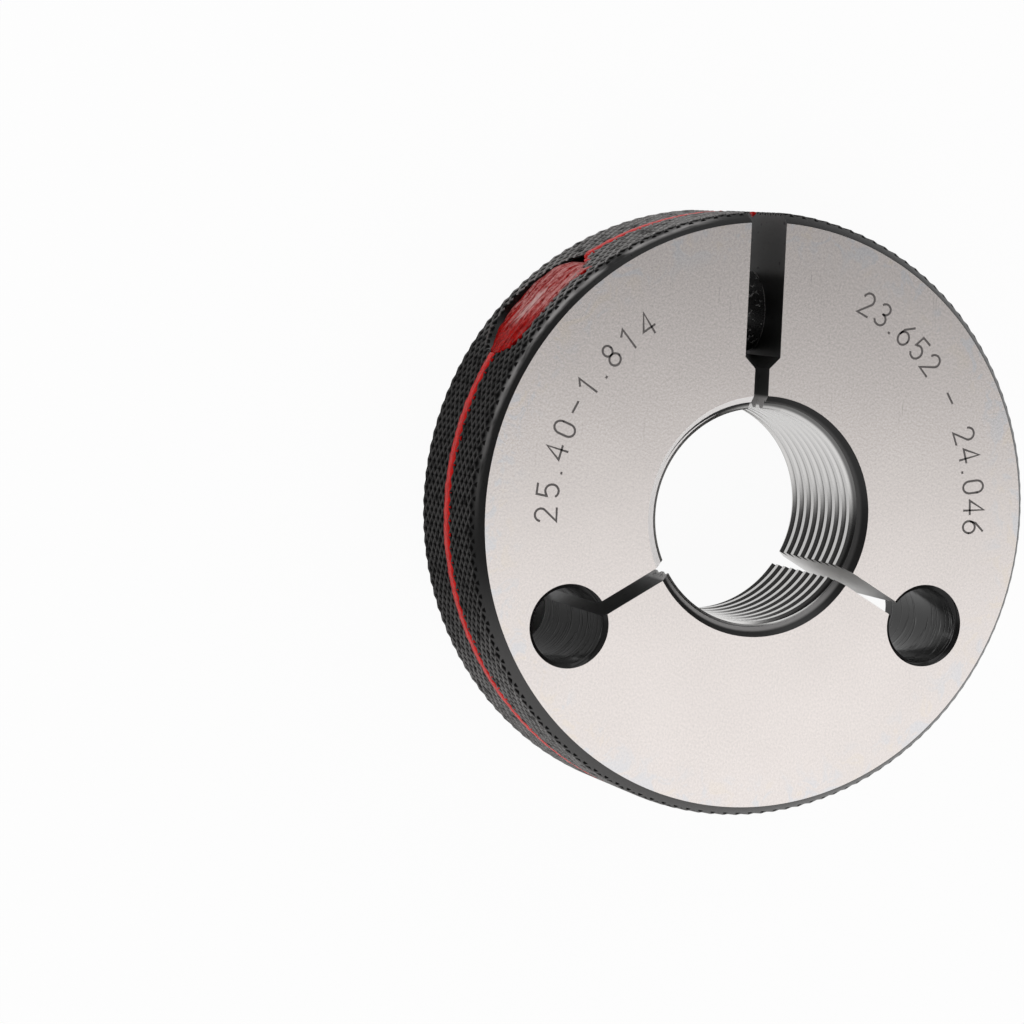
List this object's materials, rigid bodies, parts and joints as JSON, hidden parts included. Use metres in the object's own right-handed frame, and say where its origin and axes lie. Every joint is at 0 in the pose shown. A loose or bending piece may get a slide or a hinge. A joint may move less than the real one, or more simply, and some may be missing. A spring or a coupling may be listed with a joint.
{
  "type": "thread ring gauge",
  "caption": "Split steel ring with a threaded bore, knurled rim, side slots ending in relief holes, and a wax-sealed adjusting and locking screw.",
  "frame": {"origin": "centre of the back face, on the thread's axis, where the ring rests", "axes": "+Z along the thread's axis, out of the marked front face; +Y towards the adjusting slot; +X to the right as the marked face is read"},
  "size_m": [0.0666, 0.0666, 0.018],
  "materials": {
    "ring_steel": "ground faces and bright thread, black oxide on the knurled rim and in the slots",
    "black_steel": "black oxide",
    "red_wax": "glossy sealing wax"
  },
  "bodies": {
    "root": {"ring_body": "ring_steel", "adjusting_screw": "black_steel", "alignment_sleeve": "black_steel", "locking_screw": "black_steel", "adjusting_screw_seal": "red_wax", "locking_screw_seal": "red_wax"}
  },
  "joints": []
}
